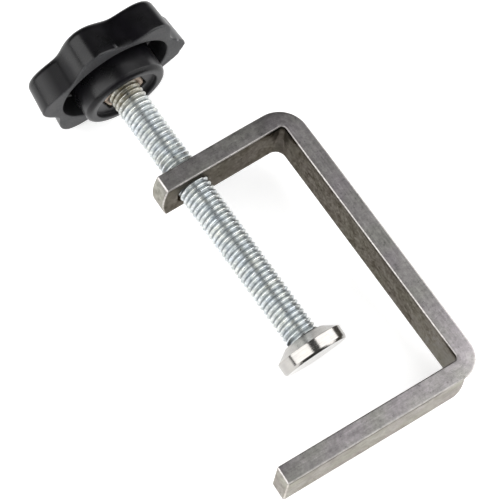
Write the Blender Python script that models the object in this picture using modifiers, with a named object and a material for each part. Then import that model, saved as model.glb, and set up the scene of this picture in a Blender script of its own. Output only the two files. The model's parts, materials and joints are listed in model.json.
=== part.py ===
"""C clamp: a bent flat-bar frame, an M8 clamping screw with a star knob, and a swivelling foot.

Everything is modelled in the clamp's own frame, under the empty "clamp_pose":
  X  along the arms, towards the spine; the spine's outer face is X = 0
  Y  across the bar's width; the bar is centred on Y = 0
  Z  along the screw, from the lower arm's outer face (Z = 0) towards the knob
The empty lays the clamp on its side on the ground (world Z = 0), as it lies on a bench:
the lower arm's back edge and one lobe of the knob touch the ground.
"""

import math

import bmesh
import bpy
from mathutils import Euler, Matrix, Vector

# Frame: flat bar bent twice. The arms are not quite square to the spine.
BAR_WIDTH = 0.0130
BAR_THICKNESS = 0.0045
FRAME_HEIGHT = 0.0750
LOWER_REACH = 0.0513
UPPER_REACH = 0.0363
LOWER_TOE_IN = math.radians(2.4)
UPPER_SPLAY = math.radians(1.0)
LOWER_BEND_RADIUS = 0.0055
UPPER_BEND_RADIUS = 0.0072
BEND_INNER_RADIUS = 0.0010
BAR_EDGE_RADIUS = 0.0004
TIP_PLAN_RADIUS = 0.0200

# Screw: M8 x 1.25. The thread is drawn as its outside cylinder.
SCREW_X = -0.0281
SCREW_RADIUS = 0.0039
SCREW_CHAMFER = 0.0006
SCREW_TOP = 0.1079
TAPPED_HOLE_RADIUS = 0.0042
HOLE_CHAMFER = 0.0004

# Foot joint: the screw's end stands in a recess in the foot's top. A grooved pin under it goes
# through the recess's floor into a bore, where a snap ring in the groove holds the foot on.
# Heights here are measured from the swivel centre.
PIVOT_Z = 0.0262
FOOT_TILT = math.radians(8.0)
SHANK_END = 0.0017
SHANK_CHAMFER = 0.00035
PIN_RADIUS = 0.0023
PIN_GROOVE_RADIUS = 0.00175
PIN_GROOVE_TOP = -0.0001
PIN_GROOVE_BOTTOM = -0.0010
PIN_NOSE = -0.0017
RING_OUTER_RADIUS = 0.00335
RING_INNER_RADIUS = 0.00195
RING_THICKNESS = 0.0007
RING_HEIGHT = (PIN_GROOVE_TOP + PIN_GROOVE_BOTTOM) / 2
RING_GAP = math.radians(50.0)
FOOT_RADIUS = 0.00805
FOOT_BOTTOM = -0.0029
FOOT_SIDE_TOP = 0.00027
FOOT_EDGE_HEIGHT = 0.0006
FOOT_EDGE_INSET = 0.0003
FOOT_TOP = 0.00227
FOOT_TOP_RADIUS = 0.0048
FOOT_RECESS_MOUTH_RADIUS = 0.00462
FOOT_RECESS_FLOOR_RADIUS = 0.0042
FOOT_RECESS_FLOOR = 0.0010
FOOT_LIP_BOTTOM = 0.00045
FOOT_LIP_RADIUS = 0.00285
FOOT_BORE_RADIUS = 0.0037
FOOT_FLOOR = -0.0022

# Knob: six-lobed star with a hollow underside and a hub that carries a hexagonal steel insert.
# It sits on the screw slightly out of line. Heights here are measured from the hub's end.
HUB_END_Z = 0.09795
KNOB_LEAN_X = math.radians(2.7)
KNOB_LEAN_Y = math.radians(1.3)
LOBES = 6
LOBE_PHASE = math.radians(10.2)
STAR_MEAN_RADIUS = 0.01765
STAR_WAVE = 0.0018
RIM_HEIGHT = 0.00495
KNOB_HEIGHT = 0.01345
KNOB_TAPER = 0.97
KNOB_TOP_ROUND = 0.0016
CAVITY_RADIUS = 0.0139
CAVITY_CEILING = 0.0108
CORE_RADIUS = 0.0092
HUB_RADIUS = 0.0104
HUB_ROUND = 0.0012
HUB_ROOT = CAVITY_CEILING + 0.0006
HUB_RECESS_RADIUS = 0.0080
HUB_RECESS_DEPTH = 0.0011
INSERT_FLATS = 0.0098
INSERT_BOTTOM = HUB_RECESS_DEPTH + 0.0003
INSERT_TOP = 0.0100
INSERT_BORE_RADIUS = 0.0043

CLEARANCE = 0.0003
PAST_FACE = 0.002
ROUND_STEPS = 48
MERGE = 0.00001


def clear_scene():
    for obj in list(bpy.data.objects):
        bpy.data.objects.remove(obj, do_unlink=True)


def new_collection(name):
    collection = bpy.data.collections.new(name)
    bpy.context.scene.collection.children.link(collection)
    return collection


def plain_material(name, colour, roughness, metallic):
    material = bpy.data.materials.new(name)
    material.use_nodes = True
    shader = material.node_tree.nodes["Principled BSDF"]
    shader.inputs["Base Color"].default_value = (*colour, 1.0)
    shader.inputs["Roughness"].default_value = roughness
    shader.inputs["Metallic"].default_value = metallic
    return material


def polar(radius, angle):
    return Vector((radius * math.cos(angle), radius * math.sin(angle)))


def arc(centre, radius, start, end, steps):
    """Points of an arc from angle start to angle end, both included."""
    return [centre + polar(radius, start + (end - start) * i / steps) for i in range(steps + 1)]


def fillet(before, corner, after, radius, steps=8):
    """The arc that rounds the corner between two straight runs."""
    to_before = (before - corner).normalized()
    to_after = (after - corner).normalized()
    half = to_before.angle(to_after) / 2
    centre = corner + (to_before + to_after).normalized() * radius / math.sin(half)
    first = corner + to_before * radius / math.tan(half) - centre
    last = corner + to_after * radius / math.tan(half) - centre
    start = math.atan2(first.y, first.x)
    turn = (math.atan2(last.y, last.x) - start + math.pi) % (2 * math.pi) - math.pi
    return arc(centre, radius, start, start + turn, steps)


def prism(name, collection, outline, depth):
    """A closed mesh: a flat outline in the object's XY plane, extruded evenly to both sides of it."""
    curve = bpy.data.curves.new(name + "_outline", "CURVE")
    curve.dimensions = "2D"
    curve.fill_mode = "BOTH"
    curve.extrude = depth / 2
    spline = curve.splines.new("POLY")
    spline.points.add(len(outline) - 1)
    for point, place in zip(spline.points, outline):
        point.co = (place[0], place[1], 0.0, 1.0)
    spline.use_cyclic_u = True
    drawn = bpy.data.objects.new(name + "_outline", curve)
    bpy.context.scene.collection.objects.link(drawn)
    depsgraph = bpy.context.evaluated_depsgraph_get()
    mesh = bpy.data.meshes.new_from_object(drawn.evaluated_get(depsgraph))
    bpy.data.objects.remove(drawn)
    work = bmesh.new()
    work.from_mesh(mesh)
    bmesh.ops.remove_doubles(work, verts=work.verts, dist=MERGE)
    bmesh.ops.recalc_face_normals(work, faces=work.faces)
    work.to_mesh(mesh)
    work.free()
    mesh.name = name
    solid = bpy.data.objects.new(name, mesh)
    collection.objects.link(solid)
    return solid


def turned(name, collection, profile, closed=False):
    """A round solid about Z. The profile's (radius, height) points run down the outer side."""
    mesh = bpy.data.meshes.new(name)
    points = [(radius, 0.0, height) for radius, height in profile]
    edges = [(i, i + 1) for i in range(len(points) - 1)]
    if closed:
        edges.append((len(points) - 1, 0))
    mesh.from_pydata(points, edges, [])
    solid = bpy.data.objects.new(name, mesh)
    collection.objects.link(solid)
    spin = solid.modifiers.new("Turn", "SCREW")
    spin.steps = ROUND_STEPS
    spin.render_steps = ROUND_STEPS
    spin.use_merge_vertices = True
    spin.merge_threshold = MERGE
    spin.use_smooth_shade = True
    return solid


def boolean(target, tool, operation="DIFFERENCE"):
    modifier = target.modifiers.new(operation.title() + " " + tool.name, "BOOLEAN")
    modifier.operation = operation
    modifier.object = tool
    tool.hide_render = True
    tool.display_type = "WIRE"


def frame_outline():
    """The bent bar seen along Y, as (X, Z) points: the outer side, then the inner side back."""
    toe, splay = math.tan(LOWER_TOE_IN), math.tan(UPPER_SPLAY)
    low_outer = Vector((-LOWER_REACH, LOWER_REACH * toe))
    high_outer = Vector((-UPPER_REACH, FRAME_HEIGHT + UPPER_REACH * splay))
    low_inner = low_outer + Vector((math.sin(LOWER_TOE_IN), math.cos(LOWER_TOE_IN))) * BAR_THICKNESS
    high_inner = high_outer - Vector((math.sin(UPPER_SPLAY), math.cos(UPPER_SPLAY))) * BAR_THICKNESS
    low_corner = Vector((0.0, 0.0))
    high_corner = Vector((0.0, FRAME_HEIGHT))
    low_rise = BAR_THICKNESS / math.cos(LOWER_TOE_IN) + BAR_THICKNESS * toe
    high_drop = BAR_THICKNESS / math.cos(UPPER_SPLAY) - BAR_THICKNESS * splay
    low_inside = Vector((-BAR_THICKNESS, low_rise))
    high_inside = Vector((-BAR_THICKNESS, FRAME_HEIGHT - high_drop))
    outer = [low_outer]
    outer += fillet(low_outer, low_corner, high_corner, LOWER_BEND_RADIUS)
    outer += fillet(low_corner, high_corner, high_outer, UPPER_BEND_RADIUS)
    outer += [high_outer]
    inner = [high_inner]
    inner += fillet(high_inner, high_inside, low_inside, BEND_INNER_RADIUS)
    inner += fillet(high_inside, low_inside, low_inner, BEND_INNER_RADIUS)
    inner += [low_inner]
    return outer + inner


def build_frame(parts, cutters):
    frame = prism("frame", parts, frame_outline(), BAR_WIDTH)
    frame.rotation_euler.x = math.pi / 2

    # The upper arm's end is round in plan: this tool takes away what lies outside the arc.
    half_angle = math.asin((BAR_WIDTH / 2 + PAST_FACE) / TIP_PLAN_RADIUS)
    crown = Vector((-UPPER_REACH + TIP_PLAN_RADIUS, 0.0))
    tip_edge = arc(crown, TIP_PLAN_RADIUS, math.pi - half_angle, math.pi + half_angle, 16)
    outside_x = -UPPER_REACH - PAST_FACE
    outline = tip_edge + [Vector((outside_x, tip_edge[-1].y)), Vector((outside_x, tip_edge[0].y))]
    tip_tool = prism("upper_tip_round", cutters, outline, 4 * BAR_THICKNESS)
    tip_tool.location.z = FRAME_HEIGHT
    boolean(frame, tip_tool)

    edges = frame.modifiers.new("Rolled edges", "BEVEL")
    edges.width = BAR_EDGE_RADIUS
    edges.segments = 2
    edges.limit_method = "ANGLE"
    edges.angle_limit = math.radians(40.0)

    # The screw's hole, chamfered where it leaves the arm's two faces.
    arm_top = FRAME_HEIGHT - SCREW_X * math.tan(UPPER_SPLAY)
    arm_bottom = arm_top - BAR_THICKNESS
    wide = TAPPED_HOLE_RADIUS + HOLE_CHAMFER + PAST_FACE
    hole = turned("screw_hole", cutters, [
        (0.0, arm_top + PAST_FACE),
        (wide, arm_top + PAST_FACE),
        (TAPPED_HOLE_RADIUS, arm_top - HOLE_CHAMFER),
        (TAPPED_HOLE_RADIUS, arm_bottom + HOLE_CHAMFER),
        (wide, arm_bottom - PAST_FACE),
        (0.0, arm_bottom - PAST_FACE),
    ])
    hole.location.x = SCREW_X
    boolean(frame, hole)
    return frame


def build_screw(parts):
    shank_end = PIVOT_Z + SHANK_END
    groove_top = PIVOT_Z + PIN_GROOVE_TOP
    groove_bottom = PIVOT_Z + PIN_GROOVE_BOTTOM
    nose = PIVOT_Z + PIN_NOSE
    screw = turned("screw", parts, [
        (0.0, SCREW_TOP),
        (SCREW_RADIUS - SCREW_CHAMFER, SCREW_TOP),
        (SCREW_RADIUS, SCREW_TOP - SCREW_CHAMFER),
        (SCREW_RADIUS, shank_end + SHANK_CHAMFER),
        (SCREW_RADIUS - SHANK_CHAMFER, shank_end),
        (PIN_RADIUS, shank_end),
        (PIN_RADIUS, groove_top),
        (PIN_GROOVE_RADIUS, groove_top),
        (PIN_GROOVE_RADIUS, groove_bottom),
        (PIN_RADIUS, groove_bottom),
        (PIN_RADIUS, nose + SHANK_CHAMFER),
        (PIN_RADIUS - SHANK_CHAMFER, nose),
        (0.0, nose),
    ])
    screw.location.x = SCREW_X
    return screw


def build_retaining_ring(parts):
    start = RING_GAP / 2
    end = 2 * math.pi - RING_GAP / 2
    centre = Vector((0.0, 0.0))
    outline = arc(centre, RING_OUTER_RADIUS, start, end, 36)
    outline += arc(centre, RING_INNER_RADIUS, end, start, 36)
    ring = prism("retaining_ring", parts, outline, RING_THICKNESS)
    ring.location = (SCREW_X, 0.0, PIVOT_Z + RING_HEIGHT)
    return ring


def build_foot(parts):
    foot = turned("foot", parts, [
        (0.0, FOOT_FLOOR),
        (FOOT_BORE_RADIUS, FOOT_FLOOR),
        (FOOT_BORE_RADIUS, FOOT_LIP_BOTTOM),
        (FOOT_LIP_RADIUS, FOOT_LIP_BOTTOM),
        (FOOT_LIP_RADIUS, FOOT_RECESS_FLOOR),
        (FOOT_RECESS_FLOOR_RADIUS, FOOT_RECESS_FLOOR),
        (FOOT_RECESS_MOUTH_RADIUS, FOOT_TOP),
        (FOOT_TOP_RADIUS, FOOT_TOP),
        (FOOT_RADIUS, FOOT_SIDE_TOP),
        (FOOT_RADIUS, FOOT_BOTTOM + FOOT_EDGE_HEIGHT),
        (FOOT_RADIUS - FOOT_EDGE_INSET, FOOT_BOTTOM),
        (0.0, FOOT_BOTTOM),
    ])
    foot.location = (SCREW_X, 0.0, PIVOT_Z)
    foot.rotation_euler.x = FOOT_TILT
    return foot


def star_outline(points_per_lobe=18):
    count = LOBES * points_per_lobe
    outline = []
    for i in range(count):
        angle = 2 * math.pi * i / count
        radius = STAR_MEAN_RADIUS + STAR_WAVE * math.cos(LOBES * (angle - LOBE_PHASE))
        outline.append(polar(radius, angle))
    return outline


def hexagon(flats):
    corner_radius = flats / math.sqrt(3)
    return [polar(corner_radius, LOBE_PHASE + math.pi * i / 3) for i in range(6)]


def shape_top(solid, taper, radius):
    """Narrows a prism's upper face and rounds the edge between it and the side wall."""
    work = bmesh.new()
    work.from_mesh(solid.data)
    top = max(vert.co.z for vert in work.verts)
    for vert in work.verts:
        if vert.co.z > top - MERGE:
            vert.co.xy *= taper
    bmesh.ops.recalc_face_normals(work, faces=work.faces)
    on_top = [edge for edge in work.edges if all(abs(v.co.z - top) < MERGE for v in edge.verts)]
    border = [edge for edge in on_top if any(abs(face.normal.z) < 0.5 for face in edge.link_faces)]
    bmesh.ops.bevel(work, geom=border, offset=radius, segments=4, profile=0.5, affect="EDGES")
    work.to_mesh(solid.data)
    work.free()


def knob_pose():
    """Places the knob's own frame, whose origin is on the screw's axis at the hub's end."""
    lean = Euler((KNOB_LEAN_X, KNOB_LEAN_Y, 0.0)).to_matrix().to_4x4()
    return Matrix.Translation((SCREW_X, 0.0, HUB_END_Z)) @ lean


def place_on_knob(solid, height=0.0):
    solid.matrix_basis = knob_pose() @ Matrix.Translation((0.0, 0.0, height))


def build_knob(parts, cutters):
    knob = prism("knob", parts, star_outline(), KNOB_HEIGHT - RIM_HEIGHT)
    shape_top(knob, KNOB_TAPER, KNOB_TOP_ROUND)
    place_on_knob(knob, (KNOB_HEIGHT + RIM_HEIGHT) / 2)

    cavity = turned("knob_cavity", cutters, [
        (CAVITY_RADIUS, CAVITY_CEILING),
        (CAVITY_RADIUS, RIM_HEIGHT - PAST_FACE),
        (CORE_RADIUS, RIM_HEIGHT - PAST_FACE),
        (CORE_RADIUS, CAVITY_CEILING),
    ], closed=True)
    place_on_knob(cavity)
    boolean(knob, cavity)

    rounding = [
        (HUB_RADIUS - HUB_ROUND * (1 - math.cos(turn)), HUB_ROUND * (1 - math.sin(turn)))
        for turn in (math.radians(30.0 * i) for i in range(4))
    ]
    hub = turned("knob_hub", cutters, [
        (0.0, HUB_ROOT),
        (HUB_RADIUS, HUB_ROOT),
        *rounding,
        (HUB_RECESS_RADIUS, 0.0),
        (HUB_RECESS_RADIUS, HUB_RECESS_DEPTH),
        (0.0, HUB_RECESS_DEPTH),
    ])
    place_on_knob(hub)
    boolean(knob, hub, "UNION")

    pocket_top = INSERT_TOP + CLEARANCE
    pocket = prism("insert_pocket", cutters, hexagon(INSERT_FLATS + 2 * CLEARANCE), pocket_top)
    place_on_knob(pocket, pocket_top / 2)
    boolean(knob, pocket)
    return knob


def build_insert(parts, cutters):
    """The hexagonal insert follows the knob's lean, but its bore is in line with the screw."""
    height = INSERT_TOP - INSERT_BOTTOM
    insert = prism("knob_insert", parts, hexagon(INSERT_FLATS), height)
    place_on_knob(insert, INSERT_BOTTOM + height / 2)
    bore = turned("insert_bore", cutters, [
        (0.0, INSERT_TOP + PAST_FACE),
        (INSERT_BORE_RADIUS, INSERT_TOP + PAST_FACE),
        (INSERT_BORE_RADIUS, INSERT_BOTTOM - PAST_FACE),
        (0.0, INSERT_BOTTOM - PAST_FACE),
    ])
    bore.location = (SCREW_X, 0.0, HUB_END_Z)
    boolean(insert, bore)
    return insert


def resting_tilt():
    """The angle between the screw and the ground when the clamp lies on its side."""
    pose = knob_pose()
    rim = [pose @ Vector((point.x, point.y, RIM_HEIGHT)) for point in star_outline()]
    return max(math.atan2(point.y - BAR_WIDTH / 2, point.z) for point in rim)


def lay_on_ground(pose, parts):
    """Sets the clamp on its side, its lowest point at Z = 0 and its box centred on X = Y = 0."""
    pose.rotation_euler.x = resting_tilt() - math.pi / 2
    bpy.context.view_layer.update()
    depsgraph = bpy.context.evaluated_depsgraph_get()
    corners = []
    for part in parts:
        mesh = part.evaluated_get(depsgraph).to_mesh()
        corners += [part.matrix_world @ vert.co for vert in mesh.vertices]
        part.evaluated_get(depsgraph).to_mesh_clear()
    low = Vector(min(corner[i] for corner in corners) for i in range(3))
    high = Vector(max(corner[i] for corner in corners) for i in range(3))
    pose.location = (-(low.x + high.x) / 2, -(low.y + high.y) / 2, -low.z)


def main():
    clear_scene()
    parts = new_collection("c_clamp")
    cutters = new_collection("cutters")
    steel = plain_material("mill_steel", (0.42, 0.39, 0.38), 0.42, 1.0)
    zinc = plain_material("zinc_plate", (0.72, 0.76, 0.76), 0.30, 1.0)
    stainless = plain_material("polished_stainless", (0.80, 0.78, 0.75), 0.12, 1.0)
    plastic = plain_material("black_plastic", (0.012, 0.012, 0.014), 0.25, 0.0)
    insert_steel = plain_material("rusted_insert", (0.38, 0.25, 0.18), 0.60, 0.8)

    built = [
        (build_frame(parts, cutters), steel),
        (build_screw(parts), zinc),
        (build_retaining_ring(parts), zinc),
        (build_foot(parts), stainless),
        (build_knob(parts, cutters), plastic),
        (build_insert(parts, cutters), insert_steel),
    ]
    pose = bpy.data.objects.new("clamp_pose", None)
    parts.objects.link(pose)
    for part, material in built:
        part.data.materials.append(material)
        part.parent = pose
    for tool in cutters.objects:
        tool.parent = pose
    for part, _ in built:
        if part.name in {"knob", "frame"}:
            part.data.shade_smooth()
            part.data.set_sharp_from_angle(angle=math.radians(35.0))
    lay_on_ground(pose, [part for part, _ in built])
    bpy.context.view_layer.update()


main()
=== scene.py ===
"""Looks for the C clamp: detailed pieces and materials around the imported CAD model.

The pieces are modelled in the clamp's own frame and placed by the matrix CLAMP:
  X  along the arms, towards the spine; the spine's outer face is X = 0
  Y  across the bar's width; -Y is the side that lies uppermost
  Z  along the screw, from the lower arm's outer face towards the knob
The knob has its own frame, KNOB, with its origin at the hub's end on the screw's axis.
"""

import json
import math

import bmesh
import bpy
from mathutils import Euler, Matrix, Vector
from mathutils.kdtree import KDTree

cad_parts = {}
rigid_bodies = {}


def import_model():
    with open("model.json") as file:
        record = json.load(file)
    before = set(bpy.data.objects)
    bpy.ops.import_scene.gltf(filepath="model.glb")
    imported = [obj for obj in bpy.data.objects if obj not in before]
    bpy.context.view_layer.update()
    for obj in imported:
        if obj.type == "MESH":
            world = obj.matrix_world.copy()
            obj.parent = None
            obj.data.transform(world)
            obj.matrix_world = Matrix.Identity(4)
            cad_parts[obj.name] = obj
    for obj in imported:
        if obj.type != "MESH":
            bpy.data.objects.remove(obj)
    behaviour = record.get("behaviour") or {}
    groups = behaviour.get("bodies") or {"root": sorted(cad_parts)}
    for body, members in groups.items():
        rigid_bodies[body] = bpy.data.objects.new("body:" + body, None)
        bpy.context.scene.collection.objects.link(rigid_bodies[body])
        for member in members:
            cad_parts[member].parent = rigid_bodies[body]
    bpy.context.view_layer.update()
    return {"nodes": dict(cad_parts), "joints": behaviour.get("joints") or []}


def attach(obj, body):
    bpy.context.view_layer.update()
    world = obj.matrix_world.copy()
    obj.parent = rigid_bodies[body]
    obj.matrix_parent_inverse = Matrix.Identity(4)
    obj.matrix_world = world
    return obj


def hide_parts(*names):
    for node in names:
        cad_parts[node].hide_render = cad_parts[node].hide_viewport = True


for obj in list(bpy.data.objects):
    bpy.data.objects.remove(obj)
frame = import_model()

# Frame, as in the CAD model.
BAR_WIDTH = 0.0130
BAR_THICKNESS = 0.0045
FRAME_HEIGHT = 0.0750
LOWER_REACH = 0.0513
UPPER_REACH = 0.0363
LOWER_TOE_IN = math.radians(2.4)
UPPER_SPLAY = math.radians(1.0)
LOWER_BEND_RADIUS = 0.0055
UPPER_BEND_RADIUS = 0.0072
BEND_INNER_RADIUS = 0.0010
BAR_EDGE_RADIUS = 0.00038
TIP_PLAN_RADIUS = 0.0200

# Screw and its tapped hole.
SCREW_X = -0.0281
PITCH = 0.00125
CREST_RADIUS = 0.0039
ROOT_RADIUS = 0.00325
THREAD_CLEARANCE = 0.00008
SCREW_TOP = 0.1079
SCREW_CHAMFER = 0.0006
HOLE_CHAMFER = 0.0005

# Foot joint; heights are measured from the swivel centre.
PIVOT_Z = 0.0262
FOOT_TILT = math.radians(8.0)
SHANK_END = 0.0017
SHANK_CHAMFER = 0.00035
PIN_RADIUS = 0.0023
PIN_GROOVE_RADIUS = 0.00175
PIN_GROOVE_TOP = -0.0001
PIN_GROOVE_BOTTOM = -0.0010
PIN_NOSE = -0.0017
FOOT_RADIUS = 0.00805
FOOT_BOTTOM = -0.0029
FOOT_SIDE_TOP = 0.00027
FOOT_EDGE_HEIGHT = 0.0006
FOOT_EDGE_INSET = 0.0003
FOOT_TOP = 0.00227
FOOT_TOP_RADIUS = 0.0048
FOOT_RECESS_MOUTH_RADIUS = 0.00462
FOOT_RECESS_FLOOR_RADIUS = 0.0042
FOOT_RECESS_FLOOR = 0.0010
FOOT_LIP_BOTTOM = 0.00045
FOOT_LIP_RADIUS = 0.00285
FOOT_BORE_RADIUS = 0.0037
FOOT_FLOOR = -0.0022

# Knob; heights are measured from the hub's end.
HUB_END_Z = 0.09795
KNOB_LEAN_X = math.radians(2.7)
KNOB_LEAN_Y = math.radians(1.3)
LOBES = 6
LOBE_PHASE = math.radians(10.2)
STAR_MEAN_RADIUS = 0.01762
STAR_WAVE = 0.0018
RIM_HEIGHT = 0.00495
KNOB_HEIGHT = 0.01337
KNOB_TAPER = 0.97
KNOB_TOP_ROUND = 0.0016
CAVITY_RADIUS = 0.0139
CAVITY_CEILING = 0.0108
HUB_RADIUS = 0.0104
HUB_ROUND = 0.0012
HUB_RECESS_RADIUS = 0.0080
HUB_RECESS_DEPTH = 0.0011
INSERT_FLATS = 0.0098
INSERT_BOTTOM = 0.0014
INSERT_TOP = 0.0100
INSERT_BORE_RADIUS = 0.0043
CLEARANCE = 0.0003

MERGE = 0.000002

joints = {joint["name"]: joint for joint in frame["joints"]}
screw_axis = Vector(joints["screw_turn"]["axis"])
swivel_centre = Vector(joints["screw_turn"]["pos_m"])
along = Vector(joints["foot_tilt"]["axis"])
across = screw_axis.cross(along)
CLAMP = (
    Matrix.Translation(swivel_centre)
    @ Matrix((along, across, screw_axis)).transposed().to_4x4()
    @ Matrix.Translation((-SCREW_X, 0.0, -PIVOT_Z))
)
KNOB = (
    CLAMP
    @ Matrix.Translation((SCREW_X, 0.0, HUB_END_Z))
    @ Euler((KNOB_LEAN_X, KNOB_LEAN_Y, 0.0)).to_matrix().to_4x4()
)
FOOT = (
    CLAMP
    @ Matrix.Translation((SCREW_X, 0.0, PIVOT_Z))
    @ Matrix.Rotation(FOOT_TILT, 4, "X")
)


# ---------------------------------------------------------------- mesh helpers

def polar(radius, angle):
    return Vector((radius * math.cos(angle), radius * math.sin(angle)))


def quarter_turns(steps):
    """Evenly spaced angles over a quarter circle, with both ends."""
    return [math.pi / 2 * i / steps for i in range(steps + 1)]


def fillet(before, corner, after, radius, steps):
    """The arc that rounds the corner between two straight runs."""
    to_before = (before - corner).normalized()
    to_after = (after - corner).normalized()
    half = to_before.angle(to_after) / 2
    centre = corner + (to_before + to_after).normalized() * radius / math.sin(half)
    first = corner + to_before * radius / math.tan(half) - centre
    last = corner + to_after * radius / math.tan(half) - centre
    start = math.atan2(first.y, first.x)
    turn = (math.atan2(last.y, last.x) - start + math.pi) % (2 * math.pi) - math.pi
    return [centre + polar(radius, start + turn * i / steps) for i in range(steps + 1)]


def rounded(points, radii, steps=4):
    """A profile whose inner corners are rounded; radii has one value for each point."""
    out = [Vector(points[0])]
    for before, corner, after, radius in zip(points, points[1:], points[2:], radii[1:-1]):
        if radius:
            out += fillet(Vector(before), Vector(corner), Vector(after), radius, steps)
        else:
            out.append(Vector(corner))
    out.append(Vector(points[-1]))
    return out


def new_object(name, points, faces, matrix, smooth_angle=35.0):
    mesh = bpy.data.meshes.new(name)
    mesh.from_pydata([tuple(point) for point in points], [], faces)
    work = bmesh.new()
    work.from_mesh(mesh)
    bmesh.ops.remove_doubles(work, verts=work.verts, dist=1e-7)
    bmesh.ops.recalc_face_normals(work, faces=work.faces)
    work.to_mesh(mesh)
    work.free()
    made = bpy.data.objects.new(name, mesh)
    bpy.context.scene.collection.objects.link(made)
    made.matrix_world = matrix
    mesh.shade_smooth()
    mesh.set_sharp_from_angle(angle=math.radians(smooth_angle))
    return made


def apply_modifiers(obj):
    depsgraph = bpy.context.evaluated_depsgraph_get()
    mesh = bpy.data.meshes.new_from_object(obj.evaluated_get(depsgraph))
    obj.modifiers.clear()
    obj.data = mesh


def boolean(target, tool, operation="DIFFERENCE"):
    """Joins or cuts at once, and removes the tool."""
    bpy.context.view_layer.update()
    modifier = target.modifiers.new("Boolean", "BOOLEAN")
    modifier.operation = operation
    modifier.object = tool
    modifier.solver = "EXACT"
    apply_modifiers(target)
    bpy.data.objects.remove(tool)


def clean(obj):
    """Closes the hairline gaps and drops the slivers that a boolean leaves."""
    work = bmesh.new()
    work.from_mesh(obj.data)
    bmesh.ops.remove_doubles(work, verts=work.verts, dist=MERGE)
    bmesh.ops.dissolve_degenerate(work, edges=work.edges, dist=MERGE)
    work.to_mesh(obj.data)
    work.free()


def weight_normals(obj):
    modifier = obj.modifiers.new("Weighted normals", "WEIGHTED_NORMAL")
    modifier.keep_sharp = True
    modifier.weight = 80


def lathe(name, profile, matrix, steps=96, smooth_angle=35.0):
    """A round solid; the profile's (radius, height) points start and end on the axis."""
    points = []
    rings = []
    for radius, height in profile:
        if radius < 1e-7:
            rings.append([len(points)] * steps)
            points.append((0.0, 0.0, height))
            continue
        first = len(points)
        rings.append([first + i for i in range(steps)])
        for i in range(steps):
            place = polar(radius, 2 * math.pi * i / steps)
            points.append((place.x, place.y, height))
    faces = ring_faces(rings)
    return new_object(name, points, faces, matrix, smooth_angle)


def ring_faces(rings):
    faces = []
    for low, high in zip(rings, rings[1:]):
        count = len(low)
        for i in range(count):
            j = (i + 1) % count
            corners = [low[i], low[j], high[j], high[i]]
            face = [v for k, v in enumerate(corners) if v not in corners[:k]]
            if len(face) > 2:
                faces.append(face)
    return faces


# ---------------------------------------------------------------- node helpers

def new_material(name, colour, roughness, metallic):
    material = bpy.data.materials.new(name)
    material.use_nodes = True
    shader = material.node_tree.nodes["Principled BSDF"]
    shader.inputs["Base Color"].default_value = (*colour, 1.0)
    shader.inputs["Roughness"].default_value = roughness
    shader.inputs["Metallic"].default_value = metallic
    material.diffuse_color = (*colour, 1.0)
    return material, material.node_tree, shader


def add(tree, kind, inputs=None, **settings):
    """Adds a node; an input's value may be a number, a colour or another node's socket."""
    node = tree.nodes.new(kind)
    for name, value in settings.items():
        setattr(node, name, value)
    for name, value in (inputs or {}).items():
        if isinstance(value, bpy.types.NodeSocket):
            tree.links.new(value, node.inputs[name])
        else:
            node.inputs[name].default_value = value
    return node


def noise(tree, vector, scale, detail=3.0, roughness=0.55, distortion=0.0):
    inputs = {
        "Vector": vector,
        "Scale": scale,
        "Detail": detail,
        "Roughness": roughness,
        "Distortion": distortion,
    }
    return add(tree, "ShaderNodeTexNoise", inputs).outputs["Fac"]


def stretch(tree, vector, scale):
    inputs = {"Vector": vector, "Scale": scale}
    return add(tree, "ShaderNodeMapping", inputs).outputs["Vector"]


def remap(tree, value, low, high, to_low, to_high):
    inputs = {
        "Value": value,
        "From Min": low,
        "From Max": high,
        "To Min": to_low,
        "To Max": to_high,
    }
    return add(tree, "ShaderNodeMapRange", inputs).outputs["Result"]


def mix(tree, factor, a, b, blend="MIX"):
    node = add(tree, "ShaderNodeMix", data_type="RGBA", blend_type=blend)
    for socket, value in ((node.inputs[0], factor), (node.inputs[6], a), (node.inputs[7], b)):
        if isinstance(value, bpy.types.NodeSocket):
            tree.links.new(value, socket)
        elif isinstance(value, tuple):
            socket.default_value = (*value, 1.0)
        else:
            socket.default_value = value
    return node.outputs[2]


def bump(tree, height, distance, strength=1.0, normal=None):
    inputs = {"Height": height, "Distance": distance, "Strength": strength}
    if normal is not None:
        inputs["Normal"] = normal
    return add(tree, "ShaderNodeBump", inputs).outputs["Normal"]


def combine(tree, a, b, operation="ADD"):
    node = add(tree, "ShaderNodeMath", operation=operation)
    for socket, value in zip(node.inputs, (a, b)):
        if isinstance(value, bpy.types.NodeSocket):
            tree.links.new(value, socket)
        else:
            socket.default_value = value
    return node.outputs[0]


def object_place(tree):
    return add(tree, "ShaderNodeTexCoord").outputs["Object"]


def attribute(tree, name):
    return add(tree, "ShaderNodeAttribute", attribute_name=name)


# ---------------------------------------------------------------- materials

FRONT_STEEL = (0.176, 0.171, 0.169)
INNER_STEEL = (0.084, 0.078, 0.068)
OUTER_STEEL = (0.245, 0.240, 0.228)
GLANCING_STEEL = (0.66, 0.63, 0.575)
# The bright edges' colour: partly wear, partly a painted highlight.
WORN_AND_SHEEN_STEEL = (0.68, 0.65, 0.63)
# The outer face's even gain, used there instead of the painted light along the bar.
OUTER_FACE_GAIN = (1.25, 1.25, 1.25)
# Painted light: gains that add up along the bar, painting it brighter towards its lower bend:
# from and to length, from and to gain.
BAR_PAINTED_LIGHT = (
    (0.0, 0.05, 1.25, 1.75),
    (0.054, 0.070, 0.0, -0.60),
    (0.070, 0.115, 0.0, -0.10),
)


def painted_light_along_bar(tree, surface):
    """Painted light: how much brighter the bar is made towards its lower bend, by the length along
    it.
    """
    length = add(tree, "ShaderNodeSeparateXYZ", {"Vector": surface}).outputs["X"]
    rising, falling, fading = [remap(tree, length, *run) for run in BAR_PAINTED_LIGHT]
    return combine(tree, combine(tree, rising, falling), fading)


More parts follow.
